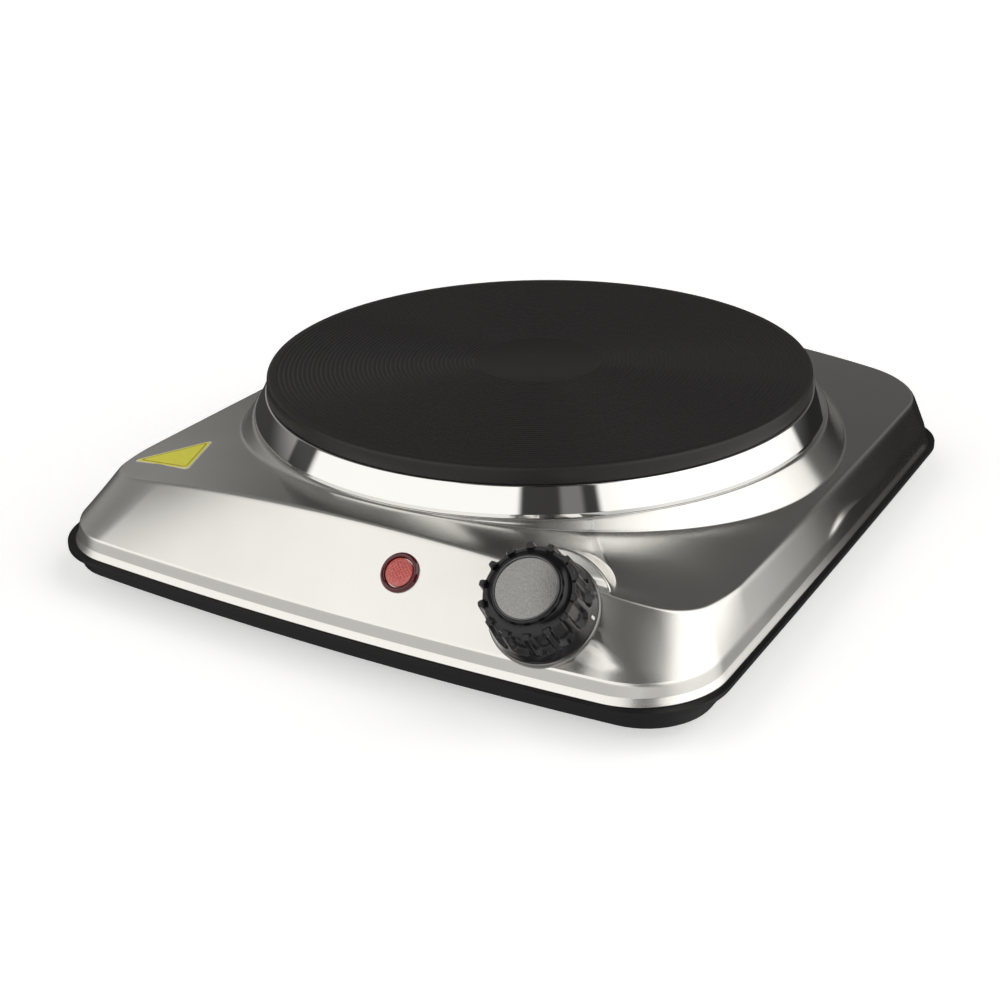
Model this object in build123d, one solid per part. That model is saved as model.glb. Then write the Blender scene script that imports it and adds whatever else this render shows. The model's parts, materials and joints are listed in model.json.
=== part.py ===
from build123d import *
from math import cos, pi, radians, sin, tan
import os

# Single electric hot plate: pressed shell on a black tray, cast-iron plate, knob and pilot light.
# Millimetres, +Z up, front towards -Y. Modelled about the middle of the tray's lip; on export the origin
# moves to the centre of the whole footprint, because the knob overhangs the front lip.

# --- Driving dimensions -----------------------------------------------------------------
WIDTH, DEPTH, HEIGHT = 236.0, 248.0, 55.0
LIP_CORNER = 27.0
BOW_FRONT, BOW_SIDE, BOW_BACK = 5.2, 0.6, 5.2

FOOT_H, FOOT_R = 5.5, 5.9
FOOT_BORE_R, FOOT_RECESS_R = 1.5, 3.2
TRAY_FLOOR, TRAY_WALL = 1.2, 1.2
TRAY_INSET = 4.5
LIP_LOW, LIP_TOP = 11.5, 13.0

SHEET = 1.0
LEDGE_Z, LEDGE_INSET = 19.3, 3.5
CROWN_R, CROWN_Z = 638.0, 40.36
LOFT_TOP_Z = 42.0
CREASE_FILLET = 2.5

PLATE_Y = 11.0
PLATE_R, PLATE_RIM_R, PLATE_SIDE_Z = 94.0, 94.4, 49.5
PLATE_BODY_R, PLATE_BODY_Z = 90.5, 43.5
GROOVE_FIRST_R, GROOVE_LAST_R, GROOVE_PITCH = 23.0, 90.2, 1.6
GROOVE_W, GROOVE_DEPTH = 0.8, 0.3
SEAT_Z, SEAT_R, OPENING_R = 40.65, 99.83, 88.0
COLLAR_SLOPE = 0.75
COLLAR_FOOT_Z = 27.0

KNOB_CENTRE = (67.7, -109.0, 31.1)
KNOB_TILT, KNOB_SWING = 48.0, 5.0
BOSS_FACE = -0.6
BOSS_R_FACE, BOSS_R_FOOT, BOSS_DEPTH = 17.2, 20.9, 10.0
BOSS_LOW_Z = 20.2
SKIRT_R, SKIRT_GAP, BEZEL_RIM = 15.9, 0.3, 0.5
KNOB_TOP = 16.2
GRIP_R_LOW, GRIP_R_TOP, RIDGE_COUNT = 14.2, 12.4, 14
CAP_R, CAP_RING_R = 8.9, 9.4
BUSH_R, SHAFT_R, SHAFT_PLAY = 5.0, 3.0, 0.04

LAMP_CENTRE = (20.3, -109.2, 31.3)
LAMP_TILT, LAMP_SWING = 43.0, 1.8
LAMP_FLANGE_R, LAMP_BODY_R, LENS_R = 6.2, 5.4, 4.4

LABEL_CENTRE, LABEL_R, LABEL_TURN = (-89.8, -77.5), 16.2, 82.0
LABEL_T = 0.15

GLAND_X, GLAND_Z = -70.0, 28.0
GLAND_TILT = 22.5
POSTS = [(-96, -86), (96, -86), (-96, 88), (96, 88)]
FEET = {
    "foot_front_left": (-87, -103),
    "foot_front_right": (87, -103),
    "foot_rear_left": (-87, 104),
    "foot_rear_right": (87, 104),
}

ORIGIN_SHIFT_Y = 2.456
BIG = 400.0
parts = {}


# --- Helpers ----------------------------------------------------------------------------
def outline(z, inset, corner, half=None, front=None, back=None, bows=None):
    """Rounded rectangle with bowed sides, as a face at height z."""
    half = WIDTH / 2 - inset if half is None else half
    front = -DEPTH / 2 + inset if front is None else front
    back = DEPTH / 2 - inset if back is None else back
    bow_front, bow_side, bow_back = bows or (BOW_FRONT, BOW_SIDE, BOW_BACK)
    x, y0, y1 = half - bow_side, front + bow_front, back - bow_back
    middle = (y0 + y1) / 2
    with BuildSketch() as flat:
        with BuildLine():
            ThreePointArc((-x, y0), (0, front), (x, y0))
            ThreePointArc((x, y0), (half, middle), (x, y1))
            ThreePointArc((x, y1), (0, back), (-x, y1))
            ThreePointArc((-x, y1), (-half, middle), (-x, y0))
        make_face()
        fillet(flat.vertices(), corner)
    return Pos(0, 0, z) * flat.sketch


def slab(low, high, inset, corner):
    """Straight-sided block on the bowed outline, from low to high."""
    return extrude(outline(low, inset, corner), high - low)


def turned(points, where=(0, PLATE_Y)):
    """Solid turned about a vertical axis, from (radius, height) points."""
    face = Plane.XZ * make_face(Polyline(*points, close=True))
    return Pos(where[0], where[1], 0) * revolve(face, Axis.Z)


def disc(r, low, high, hole=0.0, at=(0, PLATE_Y)):
    """Upright disc or washer."""
    body = Pos(at[0], at[1], (low + high) / 2) * Cylinder(r, high - low)
    if hole:
        body -= Pos(at[0], at[1], (low + high) / 2) * Cylinder(hole, high - low + 2)
    return body


def block(x0, x1, y0, y1, z0, z1):
    """Box between two corners."""
    centre = Pos((x0 + x1) / 2, (y0 + y1) / 2, (z0 + z1) / 2)
    return centre * Box(x1 - x0, y1 - y0, z1 - z0)


def tilted(centre, tilt, swing):
    """Plane whose normal leans back from the front by tilt degrees and swings to the right."""
    a, e = radians(swing), radians(tilt)
    normal = (sin(a) * cos(e), -cos(a) * cos(e), sin(e))
    return Plane(origin=centre, x_dir=(cos(a), sin(a), 0), z_dir=normal)


def place(plane, body):
    """Moves a body from the local frame of a plane to the model frame."""
    return body.moved(plane.location)


KNOB_PLANE = tilted(KNOB_CENTRE, KNOB_TILT, KNOB_SWING)
LAMP_PLANE = tilted(LAMP_CENTRE, LAMP_TILT, LAMP_SWING)


# --- Housing ----------------------------------------------------------------------------
def housing_body(t):
    """Solid under the housing's skin, t inside its outer face."""
    sections = [
        outline(LIP_TOP - 5 * t, 1.45 + t, LIP_CORNER - 1.5 - t),
        outline(15.2, 2.7 + t, LIP_CORNER - 2.7 - t),
        outline(LEDGE_Z - 0.4 * t, LEDGE_INSET + t, LIP_CORNER - LEDGE_INSET - t),
        outline(
            LOFT_TOP_Z,
            0,
            17.0 - t,
            half=105.9 - 1.1 * t,
            front=-99.6 + 1.35 * t,
            back=111.1 - 1.1 * t,
            bows=(15.7, 0.5, 4.9),
        ),
    ]
    body = loft([s.face() for s in sections], ruled=True)
    crown = Pos(0, 0, CROWN_Z - CROWN_R) * Rot(90, 0, 0) * Cylinder(CROWN_R - t, BIG)
    return body & crown


def creased(body, radius):
    """Rounds the edges where the arched top meets the sides."""
    edges = [e for e in body.edges() if on_crown_rim(e)]
    return fillet(edges, radius)


def on_crown_rim(edge):
    """True for an edge of the arched top."""
    centre = edge @ 0.5
    if centre.Z < LEDGE_Z + 6:
        return False
    rise = CROWN_Z - CROWN_R + (CROWN_R**2 - centre.X**2) ** 0.5
    return abs(centre.Z - rise) < 1.3 and abs((edge % 0.5).Z) < 0.9


def collar(t):
    """Raised cone under the spill ring."""
    foot_r = SEAT_R + COLLAR_SLOPE * (SEAT_Z - COLLAR_FOOT_Z)
    skin = 1.3 * t
    top = SEAT_Z - t
    return turned([(0, COLLAR_FOOT_Z), (foot_r - skin, COLLAR_FOOT_Z), (SEAT_R - skin, top), (0, top)])


def boss(t):
    """Round boss that carries the knob; its lower edge dies out above the ledge."""
    face, foot = BOSS_FACE - t, BOSS_FACE - BOSS_DEPTH
    local = Pos(0, 0, (face + foot) / 2) * Cone(BOSS_R_FOOT - 1.1 * t, BOSS_R_FACE - t, face - foot)
    keep = block(0, 150, -150, 0, BOSS_LOW_Z + t, 90)
    return place(KNOB_PLANE, local) & keep


def housing_solid(t):
    """Housing body, collar and boss as one solid, t inside the outer face."""
    body = creased(housing_body(t), CREASE_FILLET - 0.7 * t)
    return body + collar(t) + boss(t)


OUTER = housing_solid(0)
INNER = housing_solid(SHEET)


def housing_shell():
    shell = OUTER & block(-BIG, BIG, -BIG, BIG, LIP_TOP, 90)
    shell -= INNER
    shell -= disc(OPENING_R, 30, 60)
    shell -= place(KNOB_PLANE, Cylinder(BUSH_R, 20))
    shell -= place(LAMP_PLANE, Cylinder(LAMP_BODY_R, 20))
    shell -= place(GLAND_PLANE, Cylinder(6.0, 20))
    return shell


def rear_point(x, z):
    """Outer face of the rear wall at x and height z."""
    ray = Line((x, 60, z), (x, 160, z))
    hits = OUTER.faces().filter_by(lambda f: f.center().Y > 90)
    y = max(p.Y for face in hits for p in cut_points(face, ray))
    return (x, y, z)


def cut_points(face, line):
    """Points where a line crosses a face."""
    return [p for p, _ in face.find_intersection_points(Axis(line @ 0, line % 0))]


GLAND_PLANE = Plane(
    origin=rear_point(GLAND_X, GLAND_Z),
    x_dir=(-1, 0, 0),
    z_dir=(0, cos(radians(GLAND_TILT)), sin(radians(GLAND_TILT))),
)


def base_tray():
    """Black tray: floor, low wall, lip for the shell and an upstand that centres it."""
    corner = LIP_CORNER - TRAY_INSET - 1.8
    tray = slab(FOOT_H, LIP_TOP + 2.2, TRAY_INSET, corner)
    tray += slab(LIP_LOW, LIP_TOP, 0, LIP_CORNER)
    hollow = slab(FOOT_H + TRAY_FLOOR, 40, TRAY_INSET + TRAY_WALL, corner - TRAY_WALL)
    tray -= hollow
    for x, y in FEET.values():
        tray += disc(4.5, FOOT_H + TRAY_FLOOR, FOOT_H + 5, at=(x, y))
        tray -= disc(FOOT_BORE_R, 0, 30, at=(x, y))
    for x, y in POSTS:
        tray -= disc(1.7, 0, 30, at=(x, y))
    for row in (-52, 74):
        for i in range(-4, 5):
            slot = SlotOverall(34, 3.2, rotation=90)
            tray -= Pos(i * 11, row, 0) * extrude(slot, 10)
    return tray


def foot(at):
    """Rubber foot with a recess for its screw."""
    body = turned([(0, 0), (FOOT_R - 0.6, 0), (FOOT_R, 0.8), (FOOT_R + 0.6, FOOT_H), (0, FOOT_H)], at)
    return body - disc(FOOT_BORE_R, -1, 9, at=at) - disc(FOOT_RECESS_R, -1, 2.8, at=at)


def foot_screws():
    head_r = FOOT_RECESS_R - 0.4
    return Compound(children=[pan_screw(at, head_r, 0.8, 2.8, FOOT_BORE_R, FOOT_H + 5) for at in FEET.values()])


def pan_screw(at, head_r, low, shoulder, shank_r, top):
    """Upright screw with its head underneath and a cross recess."""
    screw = disc(head_r, low, shoulder, at=at) + disc(shank_r, shoulder, top, at=at)
    slot = Box(head_r * 1.3, 0.8, 1.6)
    return screw - Pos(at[0], at[1], low) * (slot + Rot(0, 0, 90) * slot)


def fixing_posts():
    """Threaded posts welded under the arched top."""
    posts = []
    for at in POSTS:
        post = disc(3.2, FOOT_H + TRAY_FLOOR, 60, at=at) & INNER
        posts.append(post - disc(1.5, 0, 18, at=at))
    return Compound(children=posts)


def base_screws():
    low, shoulder = FOOT_H - 2.0, FOOT_H
    return Compound(children=[pan_screw(at, 3.2, low, shoulder, 1.5, 16.5) for at in POSTS])


# --- Heating plate ----------------------------------------------------------------------
COIL_TRACKS = {"element_coil_inner": 48.0, "element_coil_outer": 72.0}
TRACK_HALF_W, TRACK_TOP = 3.5, 49.0
COIL_R, COIL_Z = 2.4, 46.3
COIL_PIN_R, COIL_PIN_LOW, COIL_GAP = 1.2, 36.5, 8.0
COVER_T, COVER_R = 0.8, 88.5
STUD_R, STUD_LOW = 3.0, 22.5


def heating_plate():
    """Cast-iron plate: grooved top, plain rim, tracks for the coils below."""
    top, rim = HEIGHT, 1.0
    outside = [(0, PLATE_BODY_Z), (PLATE_BODY_R, PLATE_BODY_Z), (PLATE_BODY_R, PLATE_SIDE_Z)]
    outside += [(PLATE_RIM_R, PLATE_SIDE_Z), (PLATE_R, top - rim), (PLATE_R - rim, top)]
    count = round((GROOVE_LAST_R - GROOVE_FIRST_R) / GROOVE_PITCH)
    for i in range(count, -1, -1):
        r = GROOVE_FIRST_R + i * GROOVE_PITCH
        half = GROOVE_W / 2
        outside += [(r + half, top), (r, top - GROOVE_DEPTH), (r - half, top)]
    outside.append((0, top))
    plate = turned(outside)
    for r in COIL_TRACKS.values():
        plate -= disc(r + TRACK_HALF_W, 0, TRACK_TOP, hole=r - TRACK_HALF_W)
    return plate - disc(STUD_R, 0, 50.5)


def element_coil(r):
    """Heating coil in its track: an open ring with two pins going down."""
    spread = COIL_GAP / 2
    y = PLATE_Y - (r**2 - spread**2) ** 0.5
    with BuildLine() as path:
        ThreePointArc((-spread, y, COIL_Z), (0, PLATE_Y + r, COIL_Z), (spread, y, COIL_Z))
    start = Plane(origin=path.line @ 0, z_dir=path.line % 0)
    coil = sweep(start * Circle(COIL_R), path=path.line)
    for x in (-spread, spread):
        coil += disc(COIL_PIN_R, COIL_PIN_LOW, COIL_Z, at=(x, y))
    return coil


def element_terminals():
    """Ceramic beads that lead the coil pins through the cover."""
    beads = []
    for at in coil_pins():
        bead = disc(2.6, PLATE_BODY_Z - COVER_T - 3.5, PLATE_BODY_Z, at=at)
        beads.append(bead - disc(COIL_PIN_R + 0.05, 30, 50, at=at))
    return Compound(children=beads)


def coil_pins():
    """Places of the four coil pins."""
    spread = COIL_GAP / 2
    rows = [PLATE_Y - (r**2 - spread**2) ** 0.5 for r in COIL_TRACKS.values()]
    return [(x, y) for y in rows for x in (-spread, spread)]


def element_cover():
    """Steel disc that closes the coil tracks."""
    cover = disc(COVER_R, PLATE_BODY_Z - COVER_T, PLATE_BODY_Z, hole=STUD_R + 0.2)
    for at in coil_pins():
        cover -= disc(2.6, 30, 50, at=at)
    return cover


def spill_ring():
    """Polished ring: a flange under the plate's rim, a flared skirt and a foot on the gasket."""
    outer = [(91.0, 49.5), (94.7, 49.5), (95.2, 49.1), (99.0, 41.6), (99.0, 40.75)]
    inner = [(98.4, 40.75), (98.4, 41.1), (92.5, 41.1), (92.5, 41.7), (98.3, 41.7), (94.6, 48.9), (91.0, 48.9)]
    return turned(outer + inner)


def ring_gasket():
    return disc(98.0, SEAT_Z, 41.1, hole=92.0)


BRIDGE_Z, BRIDGE_T, BRIDGE_HALF_W = 30.0, 1.6, 12.0


def mounting_bridge():
    """Spring-steel bar whose ends pull up under the shell's seat."""
    low, high = BRIDGE_Z, SEAT_Z - SHEET
    t = BRIDGE_T
    half = [(70, low), (85.4, high - t), (95, high - t), (95, high), (84.6, high), (69.2, low + t)]
    mirrored = [(-x, z) for x, z in reversed(half)]
    face = Plane.XZ * make_face(Polyline(*half, *mirrored, close=True))
    bar = Pos(0, PLATE_Y + BRIDGE_HALF_W, 0) * extrude(face, 2 * BRIDGE_HALF_W)
    return bar - disc(STUD_R + 0.2, 0, 60)


def centre_stud():
    return disc(STUD_R, STUD_LOW, 50.0)


def stud_washer():
    return disc(7.0, BRIDGE_Z - 1.0, BRIDGE_Z, hole=STUD_R + 0.2)


def stud_nut():
    nut = extrude(RegularPolygon(5.8, 6), 5)
    return Pos(0, PLATE_Y, BRIDGE_Z - 6) * nut - disc(STUD_R, 0, 60)


def heat_shield():
    """Aluminised pan that shades the tray's floor from the element."""
    floor = FOOT_H + TRAY_FLOOR
    outer = [(0, floor + 3), (76, floor + 3), (80, floor), (81, floor), (76.4, floor + 3.6), (0, floor + 3.6)]
    return turned(outer)


def thermal_cutout():
    """Disc cut-out riveted to the bridge, with two tabs."""
    at = (40, PLATE_Y)
    top = BRIDGE_Z + BRIDGE_T
    can = disc(8.0, top, top + 6.0, at=at)
    can += disc(6.5, top + 6.0, top + 7.0, at=at)
    for side in (-1, 1):
        can += block(at[0] - 3, at[0] + 3, at[1] + side * 11.5 - 4, at[1] + side * 11.5 + 4, top + 2, top + 2.8)
    return can


# --- Thermostat: local frame of the knob, +Z out of the panel ---------------------------
FRAME_T = 1.2
FRAME_TOP = BOSS_FACE - SHEET
STACK_X0, STACK_X1, STACK_HALF_Y = -21.0, -12.0, 6.0
FOOT_PLATE_Z = -7.7
BLADE_T = 0.6
FIXED_Z, MOVING_Z, BIMETAL_Z, STACK_END = -10.6, -15.8, -18.6, -21.0
BLADE_END = 15.0
BLADE_HALF_Y = 6.4
PIN_R, PIN_TOP, PIN_LOW = 1.5, -12.05, -13.9


def local_box(x0, x1, half_y, z0, z1):
    return block(x0, x1, -half_y, half_y, z0, z1)


def local_rod(r, z0, z1):
    return Pos(0, 0, (z0 + z1) / 2) * Cylinder(r, z1 - z0)


def thermostat_frame():
    """Z-shaped bracket held under the boss by the bushing."""
    low = FRAME_TOP - FRAME_T
    frame = local_box(-13, 13, 8, low, FRAME_TOP)
    frame += local_box(-13, -11.8, 8, FOOT_PLATE_Z, FRAME_TOP)
    frame += local_box(STACK_X0 - 1, -11.8, 8, FOOT_PLATE_Z, FOOT_PLATE_Z + FRAME_T)
    frame -= local_rod(BUSH_R, -20, 5)
    return place(KNOB_PLANE, frame - stack_hole())


def stack_hole(r=1.6):
    x = (STACK_X0 + STACK_X1) / 2
    return Pos(x, 0, -14) * Cylinder(r, 24)


def thermostat_spacers():
    """Ceramic blocks between the blades."""
    levels = [FOOT_PLATE_Z, FIXED_Z + BLADE_T, FIXED_Z, MOVING_Z + BLADE_T, MOVING_Z, BIMETAL_Z + BLADE_T]
    levels += [BIMETAL_Z, STACK_END]
    pairs = zip(levels[0::2], levels[1::2])
    spacers = [local_box(STACK_X0, STACK_X1, STACK_HALF_Y, low, high) for high, low in pairs]
    return Compound(children=[place(KNOB_PLANE, s - stack_hole()) for s in spacers])


def blade(z, hole_r, end=BLADE_END):
    """Flat spring blade from the stack to past the shaft, with a tab behind the stack."""
    flat = local_box(STACK_X0 - 7, end, BLADE_HALF_Y, z, z + BLADE_T)
    if hole_r:
        flat -= local_rod(hole_r, -30, 5)
    return place(KNOB_PLANE, flat - stack_hole())


def contact_points():
    """Silver contacts at the free ends of the two blades."""
    upper = Pos(12, 0, FIXED_Z - 0.8) * Cylinder(1.8, 1.6)
    lower = Pos(12, 0, MOVING_Z + BLADE_T + 0.8) * Cylinder(1.8, 1.6)
    return Compound(children=[place(KNOB_PLANE, c) for c in (upper, lower)])


def stack_screw():
    x = (STACK_X0 + STACK_X1) / 2
    top = FOOT_PLATE_Z + FRAME_T
    screw = Pos(x, 0, (STACK_END + top) / 2) * Cylinder(1.6, top - STACK_END)
    screw += Pos(x, 0, top + 0.5) * Cylinder(2.8, 1.0)
    screw += Pos(x, 0, STACK_END - 0.8) * Cylinder(3.0, 1.6)
    return place(KNOB_PLANE, screw)


def thermostat_bushing():
    """Threaded bushing staked to the frame, through the boss."""
    bush = local_rod(BUSH_R, FRAME_TOP - FRAME_T, 3.2)
    return place(KNOB_PLANE, bush - local_rod(SHAFT_R + SHAFT_PLAY, -20, 20))


def bushing_nut():
    nut = extrude(RegularPolygon(8.0, 6), 2.4)
    return place(KNOB_PLANE, nut - local_rod(BUSH_R, -5, 5))


def control_shaft():
    """D-shaft with a collar that bears on the adjuster pin."""
    shaft = local_rod(SHAFT_R, -12, 12.5) + local_rod(3.9, -12, -9)
    shaft -= Pos(0, SHAFT_R + 3.5, 8.6) * Box(10, 10, 8)
    return place(KNOB_PLANE, shaft)


def adjuster_pin():
    return place(KNOB_PLANE, local_rod(PIN_R, PIN_LOW, PIN_TOP))


# --- Knob -------------------------------------------------------------------------------
def knob_body():
    """Fluted grip on a wide skirt, hollow below, with a D-bored boss."""
    low = SKIRT_GAP
    profile = [(0, low), (SKIRT_R, low), (SKIRT_R, low + 0.9), (GRIP_R_LOW, 4.6), (GRIP_R_TOP, 15.0)]
    profile += [(GRIP_R_TOP - 0.8, 15.4), (CAP_RING_R + 0.4, KNOB_TOP), (0, KNOB_TOP)]
    body = revolve(Plane.XZ * make_face(Polyline(*profile, close=True)), Axis.Z)
    for i in range(RIDGE_COUNT):
        ridge = Pos(GRIP_R_TOP + 0.1, 0, 10.2) * Cylinder(1.05, 9.2)
        body += Rot(0, 0, i * 360 / RIDGE_COUNT) * ridge
    body -= local_rod(11.2, 0, 3.2) + Pos(0, 0, 3.2 + 4.4) * Cone(11.2, 9.6, 8.8)
    body += local_rod(5.6, 3.9, 14.5)
    bore = local_rod(SHAFT_R, 3, 12.8) - Pos(0, SHAFT_R + 3.5, 8.75) * Box(10, 10, 8.3)
    body -= bore
    body -= local_rod(CAP_RING_R, KNOB_TOP - 0.6, 20)
    return place(KNOB_PLANE, body)


def knob_ring():
    ring = local_rod(CAP_RING_R, KNOB_TOP - 0.6, 17.1) - local_rod(CAP_R, 10, 20)
    return place(KNOB_PLANE, ring)


def knob_cap():
    """Spun disc, slightly crowned."""
    cap = local_rod(CAP_R, KNOB_TOP - 0.6, 17.0)
    crown_r = 80.0
    return place(KNOB_PLANE, cap & Pos(0, 0, 16.9 - crown_r) * Sphere(crown_r))


def knob_bezel():
    """Thin ring plate clamped under the nut, showing round the skirt."""
    plate = local_rod(SKIRT_R + BEZEL_RIM, BOSS_FACE, 0.0) - local_rod(BUSH_R, -5, 5)
    return place(KNOB_PLANE, plate)


# --- Pilot light ------------------------------------------------------------------------
NEON_LOW = -11.0


def indicator_holder():
    """Red holder: flange outside the panel, barrel through it."""
    flange = place(LAMP_PLANE, local_rod(LAMP_FLANGE_R, -2, 1.2)) - OUTER
    barrel = place(LAMP_PLANE, local_rod(LAMP_BODY_R, -10, 0.5))
    return flange + barrel - place(LAMP_PLANE, local_rod(LENS_R, -12, 5))


def indicator_lens():
    """Domed lens in the holder's mouth."""
    dome_r = 14.0
    lens = local_rod(LENS_R, -0.8, 2.0) & Pos(0, 0, 1.7 - dome_r) * Sphere(dome_r)
    return place(LAMP_PLANE, lens)


def neon_lamp():
    glass = local_rod(2.6, NEON_LOW, -2.6) & Pos(0, 0, -6.8) * Sphere(4.9)
    return place(LAMP_PLANE, glass)


def indicator_clip():
    """Push-on ring that grips the barrel behind the panel."""
    ring = place(LAMP_PLANE, local_rod(7.6, -3.4, 0) - local_rod(LAMP_BODY_R, -6, 3))
    return ring & INNER


# --- Wiring and label -------------------------------------------------------------------
TERMINALS_AT, POLE_Z = (60.0, 92.0), FOOT_H + TRAY_FLOOR + 9.0
LEAD_R, LAMP_LEAD_R = 1.2, 0.7
LINK_HALF_W, LINK_T = 1.6, 0.8
LINK_Y0, LINK_Y1, LINK_Z = -66.0, -30.0, COIL_PIN_LOW - LINK_T / 2


def cord_gland():
    """Bushing for the supply cord in the rear wall."""
    flange = place(GLAND_PLANE, Pos(0, 0, 1.0) * Cone(8.5, 7.2, 4.0)) - OUTER
    neck = place(GLAND_PLANE, local_rod(6.0, -9, 1.0))
    return flange + neck - place(GLAND_PLANE, local_rod(3.6, -12, 8))


def gland_nut():
    nut = Pos(0, 0, -5) * extrude(RegularPolygon(9.2, 6), 5)
    return place(GLAND_PLANE, nut - local_rod(6.0, -12, 8)) & INNER


def mains_terminal_block():
    """Three-pole block on the tray's floor."""
    x, y = TERMINALS_AT
    floor = FOOT_H + TRAY_FLOOR
    body = block(x - 17, x + 17, y - 9, y + 9, floor, floor + 9)
    for i in (-1, 0, 1):
        pole = block(x + 11 * i - 4.5, x + 11 * i + 4.5, y - 9, y + 9, floor + 9, floor + 15)
        pole -= disc(2.2, floor + 5, floor + 20, at=(x + 11 * i, y))
        pole -= Pos(x + 11 * i, y, POLE_Z) * Rot(90, 0, 0) * Cylinder(1.9, 30)
        body += pole
        body -= disc(2.2, floor + 5, floor + 20, at=(x + 11 * i, y))
        body -= Pos(x + 11 * i, y, POLE_Z) * Rot(90, 0, 0) * Cylinder(1.9, 30)
    return body


def terminal_screws():
    x, y = TERMINALS_AT
    low = FOOT_H + TRAY_FLOOR + 11
    screws = [disc(2.15, low, low + 2.6, at=(x + 11 * i, y)) for i in (-1, 0, 1)]
    return Compound(children=screws)


def bend_radius(before, corner, after):
    """Largest arc that two runs of a lead allow at their corner."""
    run_in, run_out = Vector(*corner) - Vector(*before), Vector(*after) - Vector(*corner)
    turn = radians(run_in.get_angle(run_out))
    return 0.45 * min(run_in.length, run_out.length) / tan(turn / 2)


def lead(points, r=LEAD_R):
    """Insulated lead along straight runs joined by arcs."""
    radii = [bend_radius(*three) for three in zip(points, points[1:], points[2:])]
    path = FilletPolyline(*points, radius=radii)
    tube = sweep(Plane(origin=path @ 0, z_dir=path % 0) * Circle(r), path=path)
    share = tube.volume / (pi * r**2 * path.length)
    print("lead arcs", [round(a, 1) for a in radii], "volume share", round(share, 4))
    return tube


def knob_point(x, y, z):
    """Model point from the knob's local frame."""
    return tuple(KNOB_PLANE.from_local_coords(Vector(x, y, z)))


def lamp_point(x, y, z):
    """Model point from the pilot light's local frame."""
    return tuple(LAMP_PLANE.from_local_coords(Vector(x, y, z)))


def pole_entry(index):
    """First two points of a lead that starts in a pole of the terminal block."""
    x, y = TERMINALS_AT
    return [(x + 11 * index, y - 2, POLE_Z), (x + 11 * index, y - 18, POLE_Z)]


def lead_live():
    """From the block to the thermal cut-out."""
    route = [(64, 56, 20), (50, 44, 28), (40, 38, 34), (40, PLATE_Y + 15.5, 34)]
    return lead(pole_entry(1) + route)


def lead_cutout():
    """From the thermal cut-out to the fixed blade."""
    route = [(40, PLATE_Y - 15.5, 34), (40, -17, 34), (44, -33, 31), (48, -52, 29), (47, -72, 30)]
    middle = FIXED_Z + BLADE_T / 2
    return lead(route + [knob_point(-24.5, BLADE_HALF_Y + reach, middle) for reach in (12, 0)])


def lead_element():
    """From the moving blade to one coil link."""
    middle = MOVING_Z + BLADE_T / 2
    route = [knob_point(STACK_X0 - 7 - reach, 0, middle) for reach in (0, 10)]
    return lead(route + [(22, -91, 24), (12, -82, 33), (4, -77, LINK_Z), (4, LINK_Y0, LINK_Z)])


def lead_neutral():
    """From the block to the other coil link, below the bridge."""
    route = [(46, 56, 14.5), (24, 44, 15), (4, 34, 17), (-11, 20, 20), (-14, 2, 22.5), (-9, -10, 31)]
    return lead(pole_entry(0) + route + [(-4, -19, LINK_Z), (-4, LINK_Y1, LINK_Z)])


def lead_earth():
    """From the block to the bridge's edge."""
    height = BRIDGE_Z + BRIDGE_T / 2
    route = [(40, 58, 19), (28, 46, 27), (20, 36, height), (20, PLATE_Y + BRIDGE_HALF_W, height)]
    return lead(pole_entry(-1) + route)


def lamp_leads():
    """Two thin leads from the neon lamp to the coil links."""
    leads = []
    for side in (-1, 1):
        start = [lamp_point(1.2 * side, 0, z) for z in (NEON_LOW, NEON_LOW - 8)]
        bend = (10.5 + 2.5 * side, -79.5, 16.5)
        rise = [(4 * side, -63, 22), (4 * side, -63, LINK_Z - LINK_T / 2)]
        leads.append(lead(start + [bend] + rise, LAMP_LEAD_R))
    return Compound(children=leads)


def coil_links():
    """Flat links that join the coils' pins in pairs."""
    low, high = LINK_Z - LINK_T / 2, LINK_Z + LINK_T / 2
    spread, half = COIL_GAP / 2, LINK_HALF_W
    links = [block(x - half, x + half, LINK_Y0, LINK_Y1, low, high) for x in (-spread, spread)]
    return Compound(children=links)


def surface_label():
    """Plain triangular sticker that follows the arched top."""
    prism = extrude(RegularPolygon(LABEL_R, 3, rotation=LABEL_TURN), 60)
    prism = Pos(*LABEL_CENTRE, 10) * prism
    at = Pos(0, 0, CROWN_Z - CROWN_R) * Rot(90, 0, 0)
    skin = at * Cylinder(CROWN_R + LABEL_T, BIG) - at * Cylinder(CROWN_R, BIG)
    return prism & skin


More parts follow.
